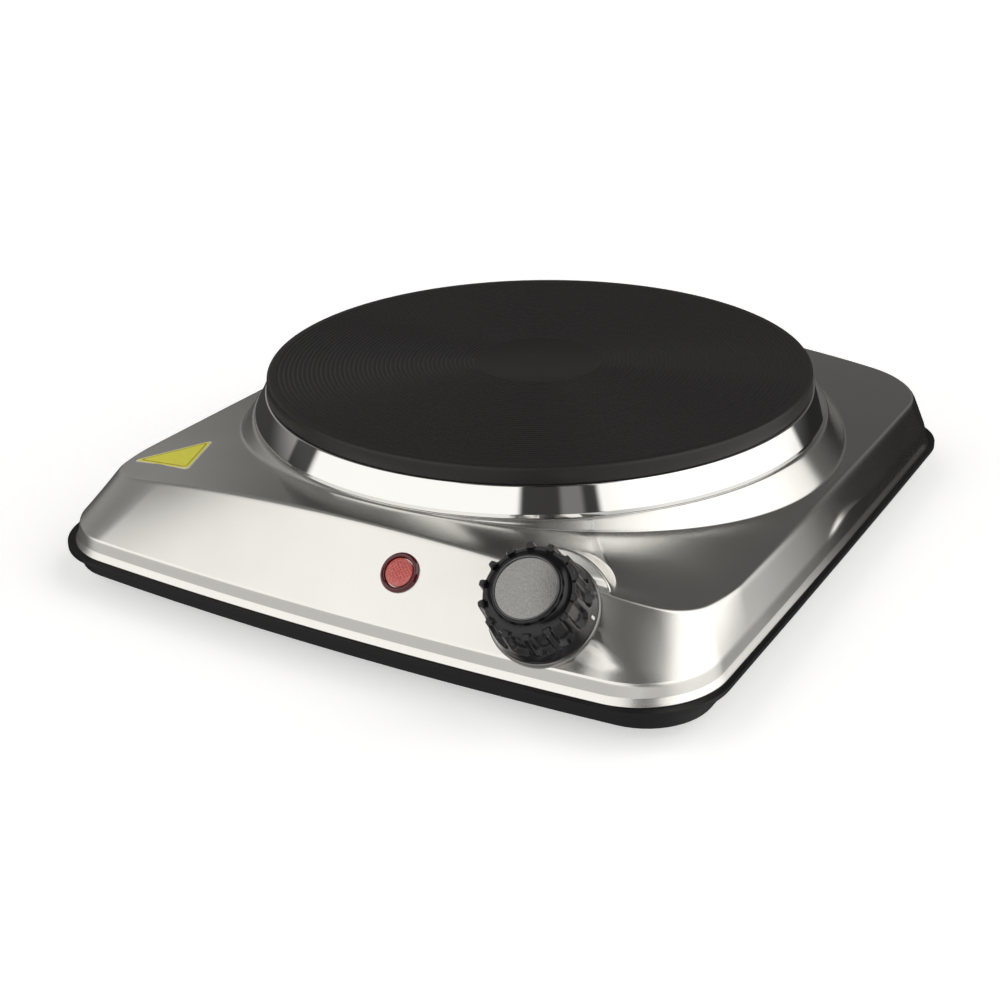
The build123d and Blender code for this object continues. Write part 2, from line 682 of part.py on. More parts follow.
# --- Assembly ---------------------------------------------------------------------------
def collect():
    """Every sub-part under its node name."""
    parts.update(
        housing_shell=housing_shell(),
        base_tray=base_tray(),
        foot_screws=foot_screws(),
        fixing_posts=fixing_posts(),
        base_screws=base_screws(),
        heating_plate=heating_plate(),
        spill_ring=spill_ring(),
        ring_gasket=ring_gasket(),
        element_terminals=element_terminals(),
        element_cover=element_cover(),
        mounting_bridge=mounting_bridge(),
        centre_stud=centre_stud(),
        stud_washer=stud_washer(),
        stud_nut=stud_nut(),
        heat_shield=heat_shield(),
        thermal_cutout=thermal_cutout(),
        thermostat_frame=thermostat_frame(),
        thermostat_spacers=thermostat_spacers(),
        fixed_blade=blade(FIXED_Z, 4.4),
        moving_blade=blade(MOVING_Z, 0),
        bimetal_blade=blade(BIMETAL_Z, 0, end=10.0),
        contact_points=contact_points(),
        stack_screw=stack_screw(),
        thermostat_bushing=thermostat_bushing(),
        bushing_nut=bushing_nut(),
        control_shaft=control_shaft(),
        adjuster_pin=adjuster_pin(),
        knob_body=knob_body(),
        knob_ring=knob_ring(),
        knob_cap=knob_cap(),
        knob_bezel=knob_bezel(),
        indicator_holder=indicator_holder(),
        indicator_lens=indicator_lens(),
        neon_lamp=neon_lamp(),
        indicator_clip=indicator_clip(),
        cord_gland=cord_gland(),
        gland_nut=gland_nut(),
        mains_terminal_block=mains_terminal_block(),
        terminal_screws=terminal_screws(),
        surface_label=surface_label(),
        lead_live=lead_live(),
        lead_cutout=lead_cutout(),
        lead_element=lead_element(),
        lead_neutral=lead_neutral(),
        lead_earth=lead_earth(),
        lamp_leads=lamp_leads(),
        coil_links=coil_links(),
    )
    for name, track in COIL_TRACKS.items():
        parts[name] = element_coil(track)
    for name, at in FEET.items():
        parts[name] = foot(at)


collect()
os.makedirs("parts", exist_ok=True)
for node, body in parts.items():
    export_step(Pos(0, ORIGIN_SHIFT_Y, 0) * body, f"parts/{node}.step")
print(len(parts), "nodes written")
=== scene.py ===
import json
from math import cos, pi, radians, sin

import bpy
import numpy as np
from mathutils import Matrix, Vector


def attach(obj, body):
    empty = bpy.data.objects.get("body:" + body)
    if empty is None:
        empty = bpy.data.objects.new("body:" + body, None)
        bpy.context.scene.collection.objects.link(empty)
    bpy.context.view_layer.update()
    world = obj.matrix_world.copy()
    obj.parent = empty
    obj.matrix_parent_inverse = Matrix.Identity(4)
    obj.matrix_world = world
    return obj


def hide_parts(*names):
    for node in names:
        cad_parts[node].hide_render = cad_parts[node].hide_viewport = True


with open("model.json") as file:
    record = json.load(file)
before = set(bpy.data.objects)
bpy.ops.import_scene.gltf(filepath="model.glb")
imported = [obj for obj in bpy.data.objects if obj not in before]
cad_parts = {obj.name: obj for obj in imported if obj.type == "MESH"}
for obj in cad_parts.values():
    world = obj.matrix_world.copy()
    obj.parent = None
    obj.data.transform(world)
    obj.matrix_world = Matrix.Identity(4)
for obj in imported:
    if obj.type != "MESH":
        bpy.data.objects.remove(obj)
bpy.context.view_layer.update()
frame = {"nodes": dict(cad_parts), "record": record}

# Looks of a single hot plate. Lengths are in millimetres here and become metres in the meshes.
MM = 0.001
scene = bpy.context.scene
cad_nodes = frame["nodes"]

# --- Driving dimensions, as in the CAD model -------------------------------------------
SHIFT_Y = 2.456
WIDTH, DEPTH, HEIGHT = 236.0, 248.0, 55.0
BOWS = (5.2, 0.6, 5.2)
LIP_CORNER = 27.0
LIP_TOP = 13.0
LEDGE_Z, LEDGE_INSET = 19.3, 3.5
CROWN_R, CROWN_Z = 638.0, 40.36
LOFT_TOP_Z = 42.0
LOFT_TOP = (105.9, -99.6, 111.1, (15.7, 0.5, 4.9), 17.0)  # half width, front, back, bows, corner
SHEET = 0.8
CREASE_RADIUS, COLLAR_BLEND = 2.2, 0.6
PLATE_AT = (0.0, 11.0 + SHIFT_Y)
PLATE_R, PLATE_RIM_R, PLATE_SIDE_Z = 94.0, 94.4, 49.5
PLATE_BODY_R, PLATE_BODY_Z, CENTRE_DROP = 90.5, 43.5, 0.12
COIL_TRACKS, TRACK_HALF, TRACK_TOP_Z = (48.0, 72.0), 3.5, 49.0
GROOVE_FIRST_R, GROOVE_LAST_R, GROOVE_PITCH, GROOVE_DEPTH = 23.0, 90.2, 1.6, 0.28
HALF_GROOVE = [(0.55, 0.0), (0.36, 0.12), (0.14, 0.85)]  # offset and share of the depth
SEAT_Z, SEAT_R, OPENING_R = 40.65, 99.83, 88.0
COLLAR_SLOPE = 0.75
KNOB_CENTRE = (67.7, -109.0 + SHIFT_Y, 31.1)
KNOB_TILT, KNOB_SWING = 48.0, 5.0
KNOB_BEARING = 29.4  # degrees from the front, seen from the plate's axis
SKIRT_R = 15.9
BOSS_FACE, BOSS_FALL, BOSS_R, BOSS_STEEP, BOSS_BLEND = -0.6, 0.1, 19.3, 3.4, 1.2
FLANK_LOW, FLANK_SLANT, FLANK_LIFT, FLANK_RUN = -7.2, 0.305, 1.1, 18.0
RIDGES, RIDGE_PHASE, RIDGE_DEPTH, FLUTE_LOW_Z = 14, 15.3, 2.9, 7.4
RIDGE_MID_R, RIDGE_HALF = 14.2, 2.84
TIP_Z, DISH_Z, DISH_R = 15.2, 14.2, 13.1
CAP_R, CAP_RING_R, CAP_TOP = 8.9, 9.4, 17.1
LAMP_CENTRE = (20.3, -109.2 + SHIFT_Y, 31.3)
LAMP_TILT, LAMP_SWING = 43.0, 1.8
LABEL_CENTRE = (-89.8, -77.5 + SHIFT_Y)
LABEL_R, LABEL_TURN = 16.2, 82.0


# --- Camera -----------------------------------------------------------------------------
def unit(v):
    return np.asarray(v, float) / np.linalg.norm(v)


def make_camera():
    """Camera at the viewing angle that the object was measured from."""
    azimuth, elevation, roll = radians(30.74), radians(24.79), radians(-1.24)
    distance, aside, above = 563.66, 13.4, 49.0
    target = np.array([0.0, PLATE_AT[1], HEIGHT])
    back = np.array([sin(azimuth) * cos(elevation), -cos(azimuth) * cos(elevation), sin(elevation)])
    right = unit(np.cross(-back, [0, 0, 1]))
    up = np.cross(right, -back)
    right_r = cos(roll) * right + sin(roll) * up
    up_r = cos(roll) * up - sin(roll) * right
    data = bpy.data.cameras.new("camera")
    data.lens, data.sensor_width = 58.32, 36.0
    data.clip_start, data.clip_end = 0.01, 50.0
    camera = bpy.data.objects.new("camera", data)
    scene.collection.objects.link(camera)
    place = (back * distance - right_r * aside - up_r * above + target) * MM
    turn = Matrix(np.column_stack([right_r, up_r, back]).tolist()).to_4x4()
    camera.matrix_world = Matrix.Translation(Vector(place)) @ turn
    scene.camera = camera


# --- Mesh helpers -----------------------------------------------------------------------
def make_object(name, vertices, faces, material, body, replaces=(), sharp=35.0):
    """Mesh object from millimetre points, riding on a body."""
    mesh = bpy.data.meshes.new(name)
    mesh.from_pydata((np.asarray(vertices, float) * MM).tolist(), [], faces)
    mesh.validate()
    mesh.shade_smooth()
    if sharp:
        mesh.set_sharp_from_angle(angle=radians(sharp))
    piece = bpy.data.objects.new(name, mesh)
    scene.collection.objects.link(piece)
    mesh.materials.append(material)
    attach(piece, body)
    if replaces:
        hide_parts(*replaces)
    return piece


def ring_faces(rows, columns, closed_rows=False):
    """Quads between successive rows of a grid whose rows close on themselves."""
    faces = []
    last = rows if closed_rows else rows - 1
    for i in range(last):
        a, b = i * columns, ((i + 1) % rows) * columns
        for j in range(columns):
            k = (j + 1) % columns
            faces.append((a + j, a + k, b + k, b + j))
    return faces


def rounded(points, radius, steps=4):
    """Polyline with its inner corners replaced by arcs of at most the given radius."""
    pts = [np.asarray(p, float) for p in points]
    out = [pts[0]]
    for before, corner, after in zip(pts, pts[1:], pts[2:]):
        a, b = before - corner, after - corner
        la, lb = np.linalg.norm(a), np.linalg.norm(b)
        turn = pi - np.arccos(np.clip(a @ b / (la * lb), -1, 1))
        if turn < 0.12:
            out.append(corner)
            continue
        reach = min(radius * np.tan(turn / 2), 0.45 * la, 0.45 * lb)
        start, end = corner + a / la * reach, corner + b / lb * reach
        for i in range(steps + 1):
            t = i / steps
            out.append((1 - t) ** 2 * start + 2 * t * (1 - t) * corner + t**2 * end)
    out.append(pts[-1])
    return np.array(out)


def lathe(profile, segments, plane=None, at=(0.0, 0.0), cap_ends=True):
    """Vertices and faces of a profile turned about Z, then placed in a local plane."""
    profile = np.asarray(profile, float)
    angle = np.arange(segments) * 2 * pi / segments
    x = profile[:, 0, None] * np.cos(angle) + at[0]
    y = profile[:, 0, None] * np.sin(angle) + at[1]
    z = np.repeat(profile[:, 1, None], segments, axis=1)
    vertices = np.stack([x, y, z], axis=-1).reshape(-1, 3)
    faces = ring_faces(len(profile), segments)
    if cap_ends:
        faces.append(tuple(range(segments))[::-1])
        faces.append(tuple(range((len(profile) - 1) * segments, len(profile) * segments)))
    return to_plane(vertices, plane), faces


def lathe_loop(profile, segments, plane=None, at=(0.0, 0.0)):
    """A closed profile turned about Z: a ring."""
    vertices, _ = lathe(profile, segments, plane, at, cap_ends=False)
    return vertices, ring_faces(len(profile), segments, closed_rows=True)


def tilted(centre, tilt, swing):
    """Local frame whose Z leans back from the front by tilt and swings to the right."""
    a, e = radians(swing), radians(tilt)
    normal = np.array([sin(a) * cos(e), -cos(a) * cos(e), sin(e)])
    across = np.array([cos(a), sin(a), 0.0])
    return np.asarray(centre, float), np.column_stack([across, np.cross(normal, across), normal])


def to_plane(vertices, plane):
    if plane is None:
        return vertices
    origin, axes = plane
    return vertices @ axes.T + origin


KNOB_PLANE = tilted(KNOB_CENTRE, KNOB_TILT, KNOB_SWING)
LAMP_PLANE = tilted(LAMP_CENTRE, LAMP_TILT, LAMP_SWING)


# --- Outline of the housing -------------------------------------------------------------
def arc_distance(across, along, bow, chord):
    """Distance outside an arc that bulges by bow over a half chord; along is from its crown."""
    radius = (chord**2 + bow**2) / (2 * bow)
    return np.hypot(across, along + radius) - radius


def outline_distance(x, y, half, front, back, bows, corner):
    """Signed distance from the bowed, rounded rectangle."""
    bow_front, bow_side, bow_back = bows
    y0, y1 = front + bow_front, back - bow_back
    middle, chord_x, chord_y = (y0 + y1) / 2, half - bow_side, (y1 - y0) / 2
    side = arc_distance(y - middle, np.abs(x) - half, bow_side, chord_y)
    rear = arc_distance(x, y - back, bow_back, chord_x)
    fore = arc_distance(x, front - y, bow_front, chord_x)
    end = np.where(y < middle, fore, rear)
    a, b = side + corner, end + corner
    return np.minimum(np.maximum(a, b), 0) + np.hypot(np.maximum(a, 0), np.maximum(b, 0)) - corner


def ray_radius(theta, half, front, back, bows, corner):
    """Distance from the plate's axis to the outline along each ray."""
    low, high = np.zeros_like(theta), np.full_like(theta, 260.0)
    for _ in range(42):
        mid = (low + high) / 2
        x, y = mid * np.sin(theta), PLATE_AT[1] - SHIFT_Y - mid * np.cos(theta)
        outside = outline_distance(x, y, half, front, back, bows, corner) > 0
        high = np.where(outside, mid, high)
        low = np.where(outside, low, mid)
    return (low + high) / 2


def lip_radius(theta, inset, corner=None):
    """Ray lengths to the lip's outline moved inwards."""
    corner = LIP_CORNER - inset if corner is None else corner
    half, end = WIDTH / 2 - inset, DEPTH / 2 - inset
    return ray_radius(theta, half, -end, end, BOWS, corner)


def ray_points(theta, radius, z):
    """Points at a radius and height on each ray; theta 0 is the front."""
    return np.stack([radius * np.sin(theta), PLATE_AT[1] - radius * np.cos(theta), z + 0 * theta], axis=-1)


def ray_angles(count, focus, spread, gain):
    """Angles all round, closer together about the focus."""
    fine = np.linspace(-pi, pi, 20001)
    weight = 1 + gain * np.exp(-(((fine - focus) / spread) ** 2))
    total = np.concatenate([[0], np.cumsum((weight[1:] + weight[:-1]) / 2)])
    return np.interp(np.arange(count) / count * total[-1], total, fine)


# --- Housing ----------------------------------------------------------------------------
def smooth_min(a, b, k):
    h = np.clip(1 - np.abs(a - b) / k, 0, 1)
    return np.minimum(a, b) - h * h * k / 4


def smooth_max(a, b, k):
    return -smooth_min(-a, -b, k)


def crown_height(x):
    return CROWN_Z - CROWN_R + np.sqrt(CROWN_R**2 - x**2)


def fillet_blend(slope, radius):
    """Blend depth that gives about this fillet radius where a slope meets a level face."""
    angle = np.arctan(slope)
    return radius * np.tan(angle / 2) * (np.sin(angle) + np.tan(angle)) / 2


def ends_dense(start, end, near_start, near_end, middle):
    """Row stations from start to end, with fixed steps near the ends where there is room."""
    span = end - start
    length = np.abs(span)
    step_a = np.minimum(1, 0.42 * length / max(near_start[-1], 1e-6))
    step_b = np.minimum(1, 0.42 * length / max(near_end[-1], 1e-6))
    sign = np.sign(span)
    first = [start + sign * d * step_a for d in near_start]
    last = [end - sign * d * step_b for d in near_end][::-1]
    a, b = first[-1], last[0]
    inner = [a + (b - a) * i / (middle + 1) for i in range(1, middle + 1)]
    return first + inner + last


def housing_grid(theta):
    """Rows of outer points of the shell from its lower edge up to the plate opening."""
    foot = ray_radius(theta, WIDTH / 2 - LEDGE_INSET, -DEPTH / 2 + LEDGE_INSET, DEPTH / 2 - LEDGE_INSET,
                      BOWS, LIP_CORNER - LEDGE_INSET)
    head = ray_radius(theta, *LOFT_TOP)
    slope = (LOFT_TOP_Z - LEDGE_Z) / (foot - head)

    def side_height(r):
        return LEDGE_Z + (foot - r) * slope

    def collar_height(r):
        return SEAT_Z - (r - SEAT_R) / COLLAR_SLOPE

    crease, collar_foot = (foot + head) / 2, np.full_like(theta, SEAT_R + 2)
    for _ in range(30):
        crease = foot - (crown_height(crease * np.sin(theta)) - LEDGE_Z) / slope
        collar_foot = SEAT_R + COLLAR_SLOPE * (SEAT_Z - crown_height(collar_foot * np.sin(theta)))

    crease_k = fillet_blend(slope, CREASE_RADIUS)

    def height(r):
        body = smooth_min(side_height(r), crown_height(r * np.sin(theta)), crease_k)
        raised = smooth_max(body, collar_height(r), COLLAR_BLEND)
        return smooth_min(raised, SEAT_Z + 0 * r, 0.6)

    rows = []
    for inset, z in skirt_profile():
        rows.append((lip_radius(theta, inset), z + 0 * theta))
    near = [0.12, 0.35, 0.7, 1.1, 1.6, 2.2, 2.9]
    stations = ends_dense(foot, crease, near[:4], [0.0] + near, 34)
    stations += ends_dense(crease, collar_foot, near, [0.0] + near[:6], 30)
    stations += ends_dense(collar_foot, SEAT_R + 0 * theta, near[:5], [0.0] + near[:3], 5)
    stations += [SEAT_R - d + 0 * theta for d in (0.15, 0.4, 0.9, 2.0, 5.0, 9.0, SEAT_R - OPENING_R)]
    for r in stations:
        rows.append((r, height(r)))
    return rows, crease


def skirt_profile():
    """Section of the shell's lower edge: a small flare, a near-vertical band and a soft ledge."""
    corners = [(2.6, LIP_TOP), (1.4, LIP_TOP), (2.75, 15.3), (LEDGE_INSET, LEDGE_Z)]
    path = rounded(corners, 0.9, 4)
    dense = [path[0]]
    for a, b in zip(path, path[1:]):
        pieces = max(1, int(np.linalg.norm(b - a) / 0.5))
        dense += [a + (b - a) * (i + 1) / pieces for i in range(pieces)]
    return dense[:-1]


def ease(value, low, high):
    """Smooth step from 0 at low to 1 at high."""
    t = np.clip((value - low) / (high - low), 0, 1)
    return t * t * (3 - 2 * t)


def boss_lift(points):
    """Raises the skin along the knob's axis into the boss that carries the knob."""
    origin, axes = KNOB_PLANE
    local = (points - origin) @ axes
    across, up, height = local[..., 0], local[..., 1], local[..., 2]
    reach = np.hypot(across, up)
    # The boss: a face that falls away to the right, inside a steep wall.
    face = BOSS_FACE - BOSS_FALL * smooth_max(across - 3, 0 * across, 6)
    wall = smooth_min(face - BOSS_STEEP * (reach - BOSS_R), face, 1.4)
    raised = smooth_max(height, wall, BOSS_BLEND)
    # The flank: a long slope from the knob's skirt to the corner.
    low_line = FLANK_LOW - FLANK_SLANT * (across - SKIRT_R)
    fade = ease(up, low_line - 5.5, low_line + 3.0) * ease(across, 4, 13) * (1 - ease(up, 7, 15))
    ramp = FLANK_LIFT * (1 - (across - SKIRT_R) / FLANK_RUN)
    ramp = (ramp + np.sqrt(ramp**2 + 0.08)) / 2
    flank = height + np.minimum(ramp, np.maximum(BOSS_FACE - height, 0)) * fade
    # The boss shows only over the panel's upper edge, and nothing reaches the ledge.
    to_top = ease(up, 6, 13) * (1 - ease(across, 19, 25)) * ease(across, -18, -8)
    shaped = flank * (1 - to_top) + np.maximum(raised, flank) * to_top
    above_ledge = ease(points[..., 2], LEDGE_Z + 0.3, LEDGE_Z + 3.5)
    lift = np.where(reach < 60, (shaped - height) * above_ledge, 0)
    return points + lift[..., None] * axes[:, 2]


def make_shell(material):
    """Pressed stainless shell with its thickness, and the unrolled sheet's coordinates."""
    count = 1300
    theta = ray_angles(count, radians(KNOB_BEARING), 0.22, 2.6)
    rows, crease = housing_grid(theta)
    outer = np.stack([ray_points(theta, r, z) for r, z in rows])
    outer = boss_lift(outer)
    row_steps = np.linalg.norm(np.diff(outer, axis=0), axis=-1)
    length = np.concatenate([np.zeros((1, count)), np.cumsum(row_steps, axis=0)])
    radius = np.stack([r for r, _ in rows])
    at_crease = np.array([np.interp(c, radius[::-1, j], length[::-1, j]) for j, c in enumerate(crease)])
    flat_r = crease + at_crease - length
    sheet = np.stack([flat_r * np.sin(theta), -flat_r * np.cos(theta), 0 * flat_r], axis=-1)

    tangent = np.roll(outer, -1, axis=1) - np.roll(outer, 1, axis=1)
    upward = np.gradient(outer, axis=0)
    normal = np.cross(tangent, upward)
    normal /= np.maximum(np.linalg.norm(normal, axis=-1, keepdims=True), 1e-9)
    keep = list(range(len(rows) - 1, 6, -7)) + [3]
    inner = outer[keep] - SHEET * normal[keep]
    inner_sheet = sheet[keep]
    vertices = np.concatenate([outer, inner]).reshape(-1, 3)
    total = len(rows) + len(keep)
    faces = ring_faces(total, count, closed_rows=True)
    piece = make_object("shell_skin", vertices, faces, material, "base",
                        ["housing_shell"], sharp=60)
    layer = piece.data.uv_layers.new(name="sheet")
    coords = np.concatenate([sheet, inner_sheet]).reshape(-1, 3)[:, :2] * MM * 4 + 0.5
    loops = np.empty(len(piece.data.loops), np.int64)
    piece.data.loops.foreach_get("vertex_index", loops)
    layer.data.foreach_set("uv", coords[loops].astype(np.float32).ravel())
    return piece


# --- Materials --------------------------------------------------------------------------
class Nodes:
    """Small helper that builds a node material."""

    def __init__(self, name):
        self.material = bpy.data.materials.new(name)
        self.material.use_nodes = True
        self.tree = self.material.node_tree
        self.shader = self.tree.nodes["Principled BSDF"]

    def add(self, kind, **settings):
        node = self.tree.nodes.new(kind)
        for key, value in settings.items():
            setattr(node, key, value)
        return node

    def link(self, source, target):
        self.tree.links.new(source, target)

    def set(self, **values):
        for key, value in values.items():
            self.shader.inputs[key.replace("_", " ")].default_value = value
        return self

    def place(self, scale, uv=None):
        """Coordinates in millimetres, stretched."""
        mapping = self.add("ShaderNodeMapping")
        if uv:
            source = self.add("ShaderNodeUVMap", uv_map=uv)
            self.link(source.outputs["UV"], mapping.inputs["Vector"])
        else:
            source = self.add("ShaderNodeTexCoord")
            self.link(source.outputs["Object"], mapping.inputs["Vector"])
        mapping.inputs["Scale"].default_value = scale
        return mapping.outputs["Vector"]

    def noise(self, vector, scale=1.0, detail=3.0, rough=0.6):
        node = self.add("ShaderNodeTexNoise")
        node.inputs["Scale"].default_value = scale
        node.inputs["Detail"].default_value = detail
        node.inputs["Roughness"].default_value = rough
        self.link(vector, node.inputs["Vector"])
        return node.outputs["Fac"]

    def spread(self, value, low, high, from_low=0.3, from_high=0.7):
        node = self.add("ShaderNodeMapRange")
        node.inputs["From Min"].default_value = from_low
        node.inputs["From Max"].default_value = from_high
        node.inputs["To Min"].default_value = low
        node.inputs["To Max"].default_value = high
        self.link(value, node.inputs["Value"])
        return node.outputs["Result"]

    def mix(self, factor, a, b):
        node = self.add("ShaderNodeMix", data_type="RGBA")
        self.link(factor, node.inputs["Factor"])
        node.inputs[6].default_value = (*a, 1)
        node.inputs[7].default_value = (*b, 1)
        return node.outputs[2]

    def bump(self, height, distance, strength=1.0):
        node = self.add("ShaderNodeBump")
        node.inputs["Distance"].default_value = distance * MM
        node.inputs["Strength"].default_value = strength
        self.link(height, node.inputs["Height"])
        self.link(node.outputs["Normal"], self.shader.inputs["Normal"])
        return node


def brushed_shell_material():
    """Stainless sheet, brushed from front to back before it was pressed."""
    n = Nodes("shell_brushed")
    n.set(Metallic=1.0, Anisotropic=0.95)
    fine = n.noise(n.place((2400, 40, 1), "sheet"), 1.0, 3, 0.6)
    coarse = n.noise(n.place((800, 22, 1), "sheet"), 1.0, 3, 0.55)
    cloud = n.noise(n.place((9, 9, 1), "sheet"), 1.0, 2, 0.5)
    both = n.add("ShaderNodeMath", operation="MULTIPLY_ADD")
    both.inputs[1].default_value = 0.6
    n.link(fine, both.inputs[0])
    n.link(coarse, both.inputs[2])
    tone = n.mix(n.spread(both.outputs[0], 0, 1, 0.5, 1.1), (0.755, 0.738, 0.708), (0.79, 0.773, 0.742))
    n.link(tone, n.shader.inputs["Base Color"])
    n.link(n.spread(cloud, 0.19, 0.215), n.shader.inputs["Roughness"])
    tangent = n.add("ShaderNodeTangent", direction_type="UV_MAP", uv_map="sheet")
    n.link(tangent.outputs["Tangent"], n.shader.inputs["Tangent"])
    n.bump(both.outputs[0], 0.005)
    return n.material


def plain(name, base, roughness, metallic=0.0, grain=2.0, vary=0.15, bump=0.0, **more):
    """Plain material with a fine grain in colour and roughness; grain is in millimetres."""
    n = Nodes(name)
    n.set(Metallic=metallic, **more)
    scale = 1 / (grain * MM)
    noise = n.noise(n.place((scale, scale, scale)), 1.0, 3, 0.6)
    light = tuple(min(1, c * (1 + vary)) for c in base)
    dark = tuple(c * (1 - vary) for c in base)
    n.link(n.mix(n.spread(noise, 0, 1), dark, light), n.shader.inputs["Base Color"])
    n.link(n.spread(noise, roughness * 0.88, min(1, roughness * 1.12)), n.shader.inputs["Roughness"])
    if bump:
        n.bump(noise, bump)
    return n.material


# --- Plate and ring ---------------------------------------------------------------------
def groove_profile():
    """Top of the plate from the rim to the centre: a fine turned spiral, drawn as rings."""
    count = round((GROOVE_LAST_R - GROOVE_FIRST_R) / GROOVE_PITCH)
    section = HALF_GROOVE + [(0.0, 1.0)] + [(-offset, depth) for offset, depth in HALF_GROOVE[::-1]]
    points = []
    for i in range(count, -1, -1):
        r = GROOVE_FIRST_R + i * GROOVE_PITCH
        points += [(r + offset, HEIGHT - depth * GROOVE_DEPTH) for offset, depth in section]
    return points


def make_plate(material):
    """Cast-iron plate: grooved top, rounded rim, tracks for the two coils underneath."""
    rim = [(PLATE_RIM_R, PLATE_SIDE_Z + 0.5), (PLATE_R, HEIGHT), (GROOVE_LAST_R + 0.8, HEIGHT)]
    profile = [tuple(p) for p in rounded(rim, 1.3, 6)] + groove_profile()
    centre_z = HEIGHT - CENTRE_DROP
    profile += [(GROOVE_FIRST_R - 1.0, HEIGHT), (GROOVE_FIRST_R - 1.3, centre_z), (3.0, centre_z)]
    profile += [(0.05, centre_z), (0.05, 50.5), (3.0, 50.5), (3.0, PLATE_BODY_Z)]
    for track in COIL_TRACKS:
        near, far = track - TRACK_HALF, track + TRACK_HALF
        profile += [(near, PLATE_BODY_Z), (near, TRACK_TOP_Z), (far, TRACK_TOP_Z), (far, PLATE_BODY_Z)]
    profile += [(PLATE_BODY_R, PLATE_BODY_Z), (PLATE_BODY_R, PLATE_SIDE_Z)]
    profile.append((PLATE_RIM_R - 0.4, PLATE_SIDE_Z))
    vertices, faces = lathe_loop(profile, 288, at=PLATE_AT)
    make_object("plate_iron", vertices, faces, material, "base", ["heating_plate"], 50)


def make_ring(material):
    """Polished pressed ring: top flange, flared skirt and rolled foot."""
    outer = rounded([(91.0, 49.42), (94.9, 49.42), (98.85, 41.9), (99.0, 40.75)], 0.7, 7)
    foot = [(98.4, 40.75), (98.4, 41.1), (92.5, 41.1), (92.5, 41.6)]
    inner = [(98.2, 41.7), (94.5, 48.85), (91.0, 48.85)]
    profile = [tuple(p) for p in outer] + foot + inner
    vertices, faces = lathe_loop(profile, 360, at=PLATE_AT)
    make_object("ring_polished", vertices, faces, material, "base", ["spill_ring"], 50)


# --- Knob -------------------------------------------------------------------------------
def knob_envelope(z):
    """Radius over the ridges at a height above the panel."""
    return np.interp(z, [0.3, 1.0, 1.5, 4.5, 10.0, TIP_Z], [SKIRT_R, SKIRT_R, 15.75, 15.25, 14.8, 14.35])


def flute_radius(angle, z):
    """Radius of the scalloped wall between ridges, with a round lower end."""
    pitch = 2 * pi / RIDGES
    off = (angle - radians(RIDGE_PHASE)) % pitch - pitch / 2
    across = np.abs(np.abs(off) - pitch / 2) * RIDGE_MID_R / RIDGE_HALF
    fall = np.maximum(0, FLUTE_LOW_Z - z) / RIDGE_DEPTH
    draft = 0.05 * (TIP_Z - z)
    return DISH_R + draft + RIDGE_DEPTH * np.hypot(across, fall) ** 6


def knob_angles():
    """Angles with most steps beside the ridges."""
    pitch = 2 * pi / RIDGES
    t = np.linspace(-1, 1, 44, endpoint=False)
    local = np.sign(t) * np.abs(t) ** 1.5 * pitch / 2
    return np.concatenate([local + i * pitch + radians(RIDGE_PHASE) for i in range(RIDGES)])


def ridge_rows(angle):
    """Rows of the grip from the skirt's foot up the scalloped wall, over the tips and down to the dish."""
    top_wall = smooth_min(knob_envelope(TIP_Z) + 0 * angle, flute_radius(angle, TIP_Z), 0.5)
    ridge = ease(top_wall, DISH_R + 0.12, DISH_R + 0.55)
    top = DISH_Z + (TIP_Z - DISH_Z) * ridge
    rows = [(15.3 + 0 * angle, 0.3 + 0 * angle), (SKIRT_R - 0.12 + 0 * angle, 0.3 + 0 * angle)]
    for share in np.concatenate([np.linspace(0.0, 0.3, 22), np.linspace(0.33, 0.97, 20), [0.985]]):
        z = 0.42 + (top - 0.42) * share
        wall = smooth_min(knob_envelope(z), flute_radius(angle, z), 0.5)
        rows.append((wall, z))
    lip = top_wall - 0.12
    inner = np.minimum(DISH_R - 0.1 - 0.6 * ridge, lip - 0.05)
    for t, drop in ((0.0, 0.03), (0.3, 0.0), (0.75, 0.0), (1.0, 0.12)):
        rows.append((lip + (inner - lip) * t, top - drop * ridge))
    rows.append((inner - 0.08, DISH_Z + 0.55 * (top - DISH_Z)))
    rows.append((DISH_R - 0.85 + 0 * angle, DISH_Z - 0.02 + 0 * angle))
    return rows


def make_knob(material):
    """Moulded grip: plain skirt, scalloped wall with ridges above a sloping face, and a cap seat."""
    angle = knob_angles()
    rows = ridge_rows(angle)
    face = [(DISH_R - 1.0, DISH_Z - 0.03), (10.3, 15.3), (10.05, 16.75), (CAP_RING_R, 16.95)]
    seat = rounded(face + [(CAP_RING_R, 16.3), (0.1, 16.3)], 0.45, 4)
    under = [(0.1, 3.4), (11.0, 3.2), (11.2, 0.9), (14.9, 0.6)]
    rows += [(r + 0 * angle, z + 0 * angle) for r, z in [*seat, *under]]
    grid = np.stack([np.stack([r * np.cos(angle), r * np.sin(angle), z], axis=-1) for r, z in rows])
    vertices = to_plane(grid.reshape(-1, 3), KNOB_PLANE)
    faces = ring_faces(len(rows), len(angle), closed_rows=True)
    make_object("knob_grip", vertices, faces, material, "knob", ["knob_body"], 42)


